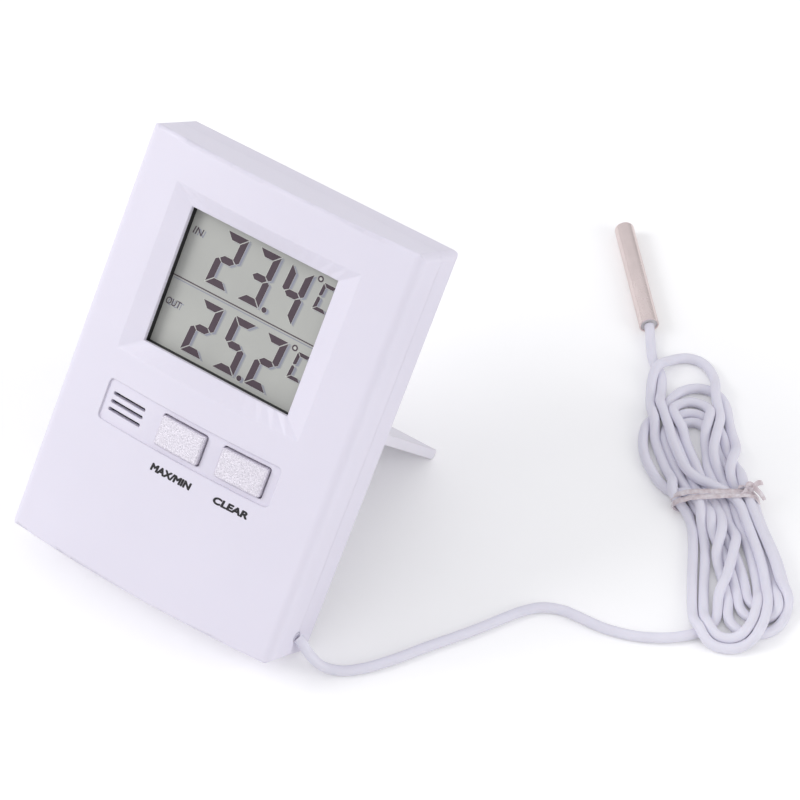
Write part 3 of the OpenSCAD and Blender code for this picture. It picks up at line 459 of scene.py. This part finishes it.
def lettering(name, text, size, shear, place, thick=0.02, bold=0.0, widen=0.0):
    """Lettering as thin geometry: place maps its own x, z and height off the surface to the case.

    Widen thickens the strokes with copies set on a small ring, each a little higher than the last.
    """
    data = bpy.data.curves.new(name, "FONT")
    data.body = text
    data.offset = bold
    data.shear = shear
    data.resolution_u = 4
    data.fill_mode = "BOTH"
    data.extrude = 0.5
    mesh = as_mesh(name, data)
    co = np.array([v.co[:] for v in mesh.vertices])
    low, high = co.min(0), co.max(0)
    kx, kz = size[0] / (high[0] - low[0]), size[1] / (high[1] - low[1])
    shifts = [(0.0, 0.0)]
    if widen:
        shifts += [(0.5 * widen * math.cos(a), 0.42 * widen * math.sin(a))
                   for a in (k * math.pi / 4 for k in range(8))]
    bm = bmesh.new()
    for number, (dx, dz) in enumerate(shifts):
        first = len(bm.verts)
        bm.from_mesh(mesh)
        bm.verts.ensure_lookup_table()
        for v in list(bm.verts)[first:]:
            x = (v.co.x - (low[0] + high[0]) / 2) * kx + dx
            z = (v.co.y - (low[1] + high[1]) / 2) * kz + dz
            v.co = place(x, z, (thick if v.co.z > 0 else 0.0) + LEVEL * number)
    bm.to_mesh(mesh)
    bm.free()
    obj = placed(name, mesh)
    return obj


def on_glass(cx, cz):
    return lambda x, z, up: world(cx + x, LENS_Y - BASE_UP - up, cz + z)


def on_crown(cx, cz):
    return lambda x, z, up: world(cx + x, crown_y(cx + x) - BASE_UP - up, cz + z)


IN_SIZE, OUT_SIZE, WORD_SHEAR, LABEL_SHEAR = (2.3, 1.45), (3.5, 1.45), 0.15, 0.12
word_in = lettering("display_in", "IN", IN_SIZE, WORD_SHEAR, on_glass(-15.1, 70.1),
                    bold=0.004)
word_out = lettering("display_out", "OUT", OUT_SIZE, WORD_SHEAR, on_glass(-14.85, 55.15),
                     bold=0.004)
word_in_shadow = lettering("display_in_shadow", "IN", IN_SIZE, WORD_SHEAR,
                           on_glass(-14.6, 69.98), thick=0.008)
word_out_shadow = lettering("display_out_shadow", "OUT", OUT_SIZE, WORD_SHEAR,
                            on_glass(-14.35, 55.03), thick=0.008)
label_a = lettering("label_max_min", "MAX/MIN", (9.3, 1.38), LABEL_SHEAR,
                    on_crown(-0.4, 25.4), widen=0.26)
label_b = lettering("label_clear", "CLEAR", (7.5, 1.32), LABEL_SHEAR,
                    on_crown(13.4, 25.45), widen=0.26)


# ------------------------------------------------------------------ the tie round the hank
TIE_REACH = 0.9
TWIST_W, TWIST_T = 1.1, 0.22
BAND_SECTION = [(-0.62, 0.0), (-0.5, 0.14), (-0.24, 0.16), (-0.12, 0.3), (0.12, 0.3), (0.24, 0.16),
                (0.5, 0.14), (0.62, 0.0), (0.45, -0.1), (-0.45, -0.1)]
# In shares of the strip's width and of its thickness
TWIST_SECTION = [(-0.5, -0.35), (-0.5, 0.35), (-0.16, 0.42), (0, 1.0), (0.16, 0.42), (0.5, 0.35),
                 (0.5, -0.35), (0, -0.6)]


def half_hull(points):
    """One side of the convex outline of sorted points."""
    out = []
    for q in points:
        while len(out) > 1 and ((out[-1][0] - out[-2][0]) * (q[1] - out[-2][1])
                                - (out[-1][1] - out[-2][1]) * (q[0] - out[-2][0])) <= 0:
            out.pop()
        out.append(q)
    return out[:-1]


def bundle_outline(clear):
    """The strands' outline where the tie goes round them: points across the waist and up."""
    rel = (LEAD_POINTS[:, :2] - WAIST) @ ALONG
    at = LEAD_POINTS[np.abs(rel) < TIE_W / 2 + TIE_REACH]
    u = (at[:, :2] - WAIST) @ ACROSS
    pts = []
    for a in np.linspace(0, 2 * np.pi, 40, endpoint=False):
        pts += list(zip(u + (LEAD_D / 2 + clear) * math.cos(a),
                        at[:, 2] + (LEAD_D / 2 + clear) * math.sin(a)))
    pts = sorted(set((round(a, 3), round(b, 3)) for a, b in pts))
    hull = half_hull(pts) + half_hull(pts[::-1])
    loop = spaced(np.array(hull + hull[:1]), 0.45)[:-1]
    for _ in range(3):
        loop = 0.5 * loop + 0.25 * (np.roll(loop, 1, 0) + np.roll(loop, -1, 0))
    loop[:, 1] = np.maximum(loop[:, 1], 0.01 + clear)
    return loop


def at_waist(s, u, z):
    """A point given as along the hank, across it and up from the table."""
    xy = WAIST + ALONG * s + ACROSS * u
    return Vector((xy[0] * MM, xy[1] * MM, z * MM))


def strip_faces(rings, around, closed):
    """Faces between rings of points, one ring after another."""
    faces = []
    for i in range(rings if closed else rings - 1):
        j = (i + 1) % rings
        for k in range(around):
            m = (k + 1) % around
            faces.append([i * around + k, j * around + k, j * around + m, i * around + m])
    return faces


def tie_band(name, shift, skew, clear):
    """One wrap of the flat tie: a band with a wire ridge along its middle.

    Shift is its place along the hank, and skew how far it leans along it over 7 mm across.
    """
    loop = bundle_outline(clear)
    n = len(loop)
    verts = []
    for i, (u, z) in enumerate(loop):
        a, b = loop[i - 1], loop[(i + 1) % n]
        t = (b - a) / np.linalg.norm(b - a)
        out = np.array((t[1], -t[0]))
        wave = 0.05 * math.sin(i * 1.3 + shift * 5)
        for s, h in BAND_SECTION:
            q = np.array((u, z)) + out * h
            verts.append(at_waist(shift + s + skew * (u / 7) + wave, q[0], max(q[1], 0.03)))
    return mesh_piece(name, verts, strip_faces(n, len(BAND_SECTION), True), sharp=50)


tie = tie_band("tie_wrap_a", -0.55, 0.9, 0.12)
tie_b = tie_band("tie_wrap_b", 0.75, 0.5, 0.14)
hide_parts("hank_tie")
top = bundle_outline(0.14)
peak = top[np.argmax(top[:, 1] + 0.25 * top[:, 0])]


def twisted_end(name, points, roll, twist):
    """A flat strip along points at the waist, rolled at its start and twisted over its length."""
    p = refine(points, 6)
    verts = []
    n = len(p)
    for i in range(n):
        t = p[min(i + 1, n - 1)] - p[max(i - 1, 0)]
        t /= np.linalg.norm(t)
        side = np.cross(t, (0, 0, 1.0))
        side = side / max(np.linalg.norm(side), 1e-6)
        normal = np.cross(side, t)
        a = roll + twist * i / (n - 1)
        s2 = side * math.cos(a) + normal * math.sin(a)
        n2 = normal * math.cos(a) - side * math.sin(a)
        for s, h in TWIST_SECTION:
            q = p[i] + s2 * s * TWIST_W + n2 * h * TWIST_T
            verts.append(at_waist(*q))
    m = len(TWIST_SECTION)
    faces = strip_faces(n, m, False)
    faces.append(list(range(m)))
    faces.append([(n - 1) * m + k for k in range(m)][::-1])
    return mesh_piece(name, verts, faces, sharp=50)


def from_peak(points):
    """Points given from the highest strand under the tie."""
    return [(s, peak[0] + u, peak[1] + z) for s, u, z in points]


knot_a = twisted_end("tie_twist_a", from_peak([
    (-0.9, -1.6, 0.1), (-0.5, -0.6, 0.7), (0.4, 0.1, 1.1), (0.5, 0.9, 0.7), (-0.3, 1.5, 0.6),
    (-0.9, 2.3, 0.7), (-1.2, 3.3, 0.3)]), 0.3, 2.6)
knot_b = twisted_end("tie_twist_b", from_peak([
    (1.0, -1.2, 0.1), (0.5, -0.4, 0.6), (-0.4, 0.2, 1.2), (-0.4, 1.0, 0.9), (0.4, 1.6, 0.6),
    (1.5, 2.4, 0.3), (2.8, 3.0, -0.2)]), 1.6, 2.2)

# ------------------------------------------------------------------ floor, light and background
FLOOR_HALF, FLOOR_DROP = 4.0, 0.00002
floor_mesh = bpy.data.meshes.new("floor")
floor_mesh.from_pydata([(x * FLOOR_HALF, y * FLOOR_HALF, 0)
                        for x, y in ((-1, -1), (1, -1), (1, 1), (-1, 1))], [], [[0, 1, 2, 3]])
floor = bpy.data.objects.new("floor", floor_mesh)
floor.location.z = -FLOOR_DROP
bpy.context.scene.collection.objects.link(floor)
floor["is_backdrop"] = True


def soft_lamp(name, at, size, power):
    """A round lamp that looks at the object."""
    data = bpy.data.lights.new(name, "AREA")
    data.shape = "DISK"
    data.size = size
    data.energy = power
    obj = bpy.data.objects.new(name, data)
    bpy.context.scene.collection.objects.link(obj)
    obj.location = at
    aim = Vector((0.02, 0.02, 0.03)) - Vector(at)
    obj.rotation_euler = aim.to_track_quat("-Z", "Y").to_euler()


soft_lamp("key", (-0.75, -0.5, 0.75), 0.55, 4.6)
soft_lamp("fill", (1.1, 0.15, 0.5), 0.9, 4.2)


def node(tree, kind, **values):
    """A new shader node, with input values whose names have _ for each space."""
    new = tree.nodes.new("ShaderNode" + kind)
    for key, value in values.items():
        new.inputs[key.replace("_", " ")].default_value = value
    return new


# The room lights the object, brighter from above and from the left, and looks white to the camera
studio = bpy.data.worlds.new("studio")
bpy.context.scene.world = studio
studio.use_nodes = True
tree = studio.node_tree
tree.nodes.clear()
out = node(tree, "OutputWorld")
mix = node(tree, "MixShader")
soft = node(tree, "Background", Color=(0.97, 0.97, 1.0, 1))
side = node(tree, "VectorMath")
side.operation = "DOT_PRODUCT"
side.inputs[1].default_value = (-0.6, 0.0, 0.8)
sky = node(tree, "TexCoord")
fade = node(tree, "MapRange", From_Min=-0.5, From_Max=0.6, To_Min=0.40, To_Max=0.76)
tree.links.new(sky.outputs["Generated"], side.inputs[0])
tree.links.new(side.outputs["Value"], fade.inputs["Value"])
tree.links.new(fade.outputs[0], soft.inputs["Strength"])
seen = node(tree, "Background", Color=(1, 1, 1, 1), Strength=1.0)
ray = node(tree, "LightPath")
tree.links.new(ray.outputs["Is Camera Ray"], mix.inputs[0])
tree.links.new(soft.outputs[0], mix.inputs[1])
tree.links.new(seen.outputs[0], mix.inputs[2])
tree.links.new(mix.outputs[0], out.inputs[0])


# ------------------------------------------------------------------ materials
def srgb(r, g, b):
    def lin(c):
        c /= 255
        return c / 12.92 if c <= 0.04045 else ((c + 0.055) / 1.055) ** 2.4
    return (lin(r), lin(g), lin(b), 1.0)


def material(name, colour, rough, metal=0.0, vary=0.04, vary_scale=60.0, bump=0.05,
             bump_scale=900.0, spec=0.5, rough_vary=0.06, subsurface=0.0, second=None,
             stretch=(1, 1, 1), detail=4.0, edge=0.0, deep=0.1):
    """A moulded, painted or metal surface: patches of colour and gloss, and a fine grain.

    Second is the darker of its two colours, edge the softness of its edges and deep the height of
    its grain, both in millimetres.
    """
    mat = bpy.data.materials.new(name)
    mat.use_nodes = True
    tree = mat.node_tree
    link = tree.links.new
    tree.nodes.clear()
    end = node(tree, "OutputMaterial")
    shader = node(tree, "BsdfPrincipled", Metallic=metal, Specular_IOR_Level=spec,
                  Subsurface_Weight=subsurface, Subsurface_Radius=(0.0012, 0.0010, 0.0009))
    link(shader.outputs[0], end.inputs[0])
    coords = node(tree, "TexCoord")
    place = node(tree, "Mapping", Scale=stretch)
    link(coords.outputs["Object"], place.inputs[0])
    patch = node(tree, "TexNoise", Scale=vary_scale, Detail=detail)
    link(place.outputs[0], patch.inputs["Vector"])
    dark = second or tuple(c * (1 - vary) for c in colour[:3]) + (1.0,)
    light = tuple(min(1.0, c * (1 + vary * 0.5)) for c in colour[:3]) + (1.0,)
    ramp = node(tree, "ValToRGB")
    low, high = ramp.color_ramp.elements
    low.position, low.color = 0.32, dark
    high.position, high.color = 0.68, colour if second else light
    link(patch.outputs["Fac"], ramp.inputs[0])
    link(ramp.outputs[0], shader.inputs["Base Color"])
    grain = node(tree, "TexNoise", Scale=bump_scale, Detail=3.0)
    link(place.outputs[0], grain.inputs["Vector"])
    spread = node(tree, "MapRange", To_Min=max(0.02, rough - rough_vary),
                  To_Max=min(1.0, rough + rough_vary))
    link(patch.outputs["Fac"], spread.inputs["Value"])
    link(spread.outputs[0], shader.inputs["Roughness"])
    relief = node(tree, "Bump", Strength=bump, Distance=deep * MM)
    link(grain.outputs["Fac"], relief.inputs["Height"])
    link(relief.outputs[0], shader.inputs["Normal"])
    if edge:
        soften = node(tree, "Bevel", Radius=edge * MM)
        soften.samples = 6
        link(soften.outputs[0], relief.inputs["Normal"])
    return mat


M = {
    "case": material("case_white", srgb(232, 228, 241), 0.38, vary=0.02, vary_scale=25, bump=0.1,
                     bump_scale=3200, spec=0.42, subsurface=0.06, edge=0.35),
    "cover": material("cover_white", srgb(231, 227, 240), 0.42, vary=0.02, vary_scale=25, bump=0.12,
                      bump_scale=3200, spec=0.42, subsurface=0.06, edge=0.3),
    "stand": material("stand_white", srgb(232, 229, 238), 0.4, vary=0.02, vary_scale=30, bump=0.1,
                      bump_scale=3200, spec=0.4, subsurface=0.08, edge=0.35),
    "holder": material("holder_black", srgb(18, 17, 20), 0.55, vary=0.2, bump=0.2, bump_scale=2600),
    "glass": material("display_glass", srgb(190, 191, 186), 0.36, vary=0.03, vary_scale=45,
                      bump=0.03, bump_scale=5200, spec=0.18, second=srgb(181, 182, 178)),
    "rear_glass": material("rear_glass", srgb(150, 155, 148), 0.3, vary=0.03),
    "reflector": material("reflector", srgb(190, 190, 188), 0.35, metal=0.7, vary=0.05),
    "zebra": material("zebra_rubber", srgb(214, 170, 160), 0.7, stretch=(40, 1, 1), vary=0.3),
    "board": material("board_green", srgb(38, 92, 62), 0.45, vary=0.15, vary_scale=180, bump=0.3),
    "resin": material("resin_black", srgb(16, 16, 17), 0.2, vary=0.2, bump=0.08, bump_scale=400),
    "component": material("component_tan", srgb(176, 140, 92), 0.5, vary=0.25, vary_scale=700),
    "switch": material("switch_black", srgb(38, 38, 41), 0.5, vary=0.2),
    "button": material("button_silver", srgb(240, 235, 246), 0.36, metal=0.35, vary=0.2,
                       vary_scale=3600, bump=1.0, bump_scale=3600, spec=0.5, rough_vary=0.12,
                       detail=2.0, edge=0.25, deep=0.25),
    "screw": material("screw_zinc", srgb(176, 176, 180), 0.3, metal=1.0, vary=0.15, bump=0.2),
    "steel": material("probe_steel", srgb(238, 223, 220), 0.26, metal=1.0, vary=0.06,
                      vary_scale=500, bump=0.08, bump_scale=2500, stretch=(0.3, 0.3, 1.6)),
    "battery": material("battery_can", srgb(58, 62, 70), 0.35, metal=0.5, vary=0.1),
    "contact": material("contact_nickel", srgb(190, 188, 182), 0.28, metal=1.0, vary=0.1),
    "wire_red": material("wire_red", srgb(170, 30, 28), 0.4, vary=0.1),
    "wire_black": material("wire_black", srgb(24, 24, 26), 0.4, vary=0.2),
    "lead": material("lead_vinyl", srgb(231, 229, 240), 0.36, vary=0.025, vary_scale=220, bump=0.12,
                     bump_scale=1600, spec=0.45, subsurface=0.14),
    "tie": material("tie_paper", srgb(232, 226, 230), 0.5, vary=0.06, vary_scale=900, bump=0.35,
                    bump_scale=2400, spec=0.35, second=srgb(205, 190, 194), subsurface=0.1),
    "plug": material("probe_plug", srgb(215, 212, 214), 0.45, vary=0.06, subsurface=0.1),
    "bead": material("bead_brown", srgb(120, 62, 34), 0.35, vary=0.2, vary_scale=600),
    "segment": material("segment_dark", srgb(90, 78, 86), 0.46, vary=0.05, vary_scale=500,
                        bump=0.03, spec=0.15),
    "shade_near": material("segment_shade_near", srgb(152, 154, 168), 0.46, vary=0.03, spec=0.15),
    "shade_far": material("segment_shade_far", srgb(168, 170, 172), 0.46, vary=0.03, spec=0.15),
    "painted_light_rim": material("segment_painted_light_rim", srgb(208, 209, 203), 0.46, vary=0.02, spec=0.15),
    "ink": material("label_ink", srgb(34, 32, 36), 0.5, vary=0.2, vary_scale=2000, bump=0.1),
    "floor": material("table_white", (0.96, 0.96, 0.96, 1), 0.6, vary=0.01, vary_scale=6, bump=0.02,
                      spec=0.2),
}

# The floor looks white to the camera, and keeps the object's shadow
tree = M["floor"].node_tree
end = next(n for n in tree.nodes if n.type == "OUTPUT_MATERIAL")
plain_floor = next(n for n in tree.nodes if n.type == "BSDF_PRINCIPLED")
lift = node(tree, "Emission", Strength=0.12)
both = node(tree, "AddShader")
pick = node(tree, "MixShader")
seen_by = node(tree, "LightPath")
tree.links.new(plain_floor.outputs[0], both.inputs[0])
tree.links.new(lift.outputs[0], both.inputs[1])
tree.links.new(seen_by.outputs["Is Camera Ray"], pick.inputs[0])
tree.links.new(plain_floor.outputs[0], pick.inputs[1])
tree.links.new(both.outputs[0], pick.inputs[2])
tree.links.new(pick.outputs[0], end.inputs[0])

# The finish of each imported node
NODE_FINISH = {
    "front_shell": "case", "rear_cover": "cover", "display_holder": "holder",
    "display_front_glass": "glass", "display_rear_glass": "rear_glass",
    "display_reflector": "reflector", "zebra_strip": "zebra", "circuit_board": "board",
    "chip_resin": "resin", "crystal": "contact", "small_parts": "component",
    "tact_switches": "switch", "plunger_max_min": "switch", "plunger_clear": "switch",
    "button_max_min": "button", "button_clear": "button", "indoor_thermistor": "bead",
    "board_screws": "screw", "case_screws": "screw", "stand": "stand", "battery_door": "cover",
    "battery": "battery", "contact_positive": "contact", "contact_negative": "contact",
    "contact_spring": "contact", "wire_positive": "wire_red", "wire_negative": "wire_black",
    "lead_inside": "lead", "strain_collar": "stand", "lead_tail": "lead", "lead_hank": "lead",
    "lead_to_probe": "lead", "hank_tie": "tie", "probe_tube": "steel", "probe_resin": "plug",
    "probe_thermistor": "bead",
}
PIECE_FINISH = {
    "lead": [lead],
    "tie": [tie, tie_b, knot_a, knot_b],
    "segment": [digits, degrees, word_in, word_out, divider],
    "shade_near": [shadow_near, divider_shadow, word_in_shadow, word_out_shadow],
    "shade_far": [shadow_far],
    "painted_light_rim": [painted_light_rim, degree_painted_light],
    "ink": [label_a, label_b],
    "floor": [floor],
}
for name, key in NODE_FINISH.items():
    for slot in bpy.data.objects[name].material_slots:
        slot.link = "OBJECT"
        slot.material = M[key]
for key, pieces in PIECE_FINISH.items():
    for piece in pieces:
        piece.data.materials.clear()
        piece.data.materials.append(M[key])


def plain(value):
    """The box as plain lists of numbers."""
    if hasattr(value, "__len__"):
        return [plain(v) for v in value]
    return float(value)


bpy.context.view_layer.update()
{"cad": plain(cad_box), "visual": plain(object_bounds())}
